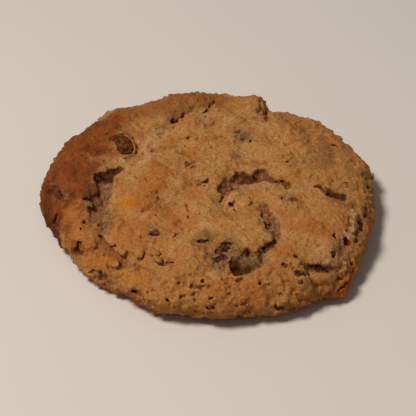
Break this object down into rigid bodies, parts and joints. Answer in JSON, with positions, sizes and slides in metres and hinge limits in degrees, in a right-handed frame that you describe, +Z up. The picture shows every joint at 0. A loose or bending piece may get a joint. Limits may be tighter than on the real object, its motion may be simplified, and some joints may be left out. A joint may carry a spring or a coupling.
{
  "type": "oatmeal raisin cookie",
  "caption": "Large round oatmeal raisin cookie with an uneven browned edge, a low cracked dome, raisins breaking through the crust and a flat underside.",
  "frame": {"origin": "under the middle of the cookie, on the plane of its flat underside", "axes": "+Z up out of the crust, +X to the right and -Y towards the front, as the cookie is seen in use"},
  "size_m": [0.089, 0.0848, 0.0155],
  "materials": {
    "dough": "matte baked oat dough, golden brown, with darker browned rims and paler torn crumb",
    "raisin": "satin, wrinkled dark purple-brown skin"
  },
  "bodies": {
    "root": {"dough": "dough", "raisin_front_middle": "raisin", "raisin_front_middle_small": "raisin", "raisin_pit": "raisin", "raisin_back": "raisin", "raisin_left": "raisin", "raisin_left_edge": "raisin", "raisin_left_rim": "raisin", "raisin_right_edge": "raisin", "raisin_right_cleft": "raisin", "raisin_right": "raisin", "raisin_front_right": "raisin", "raisin_slot": "raisin", "raisin_front": "raisin"}
  },
  "joints": []
}
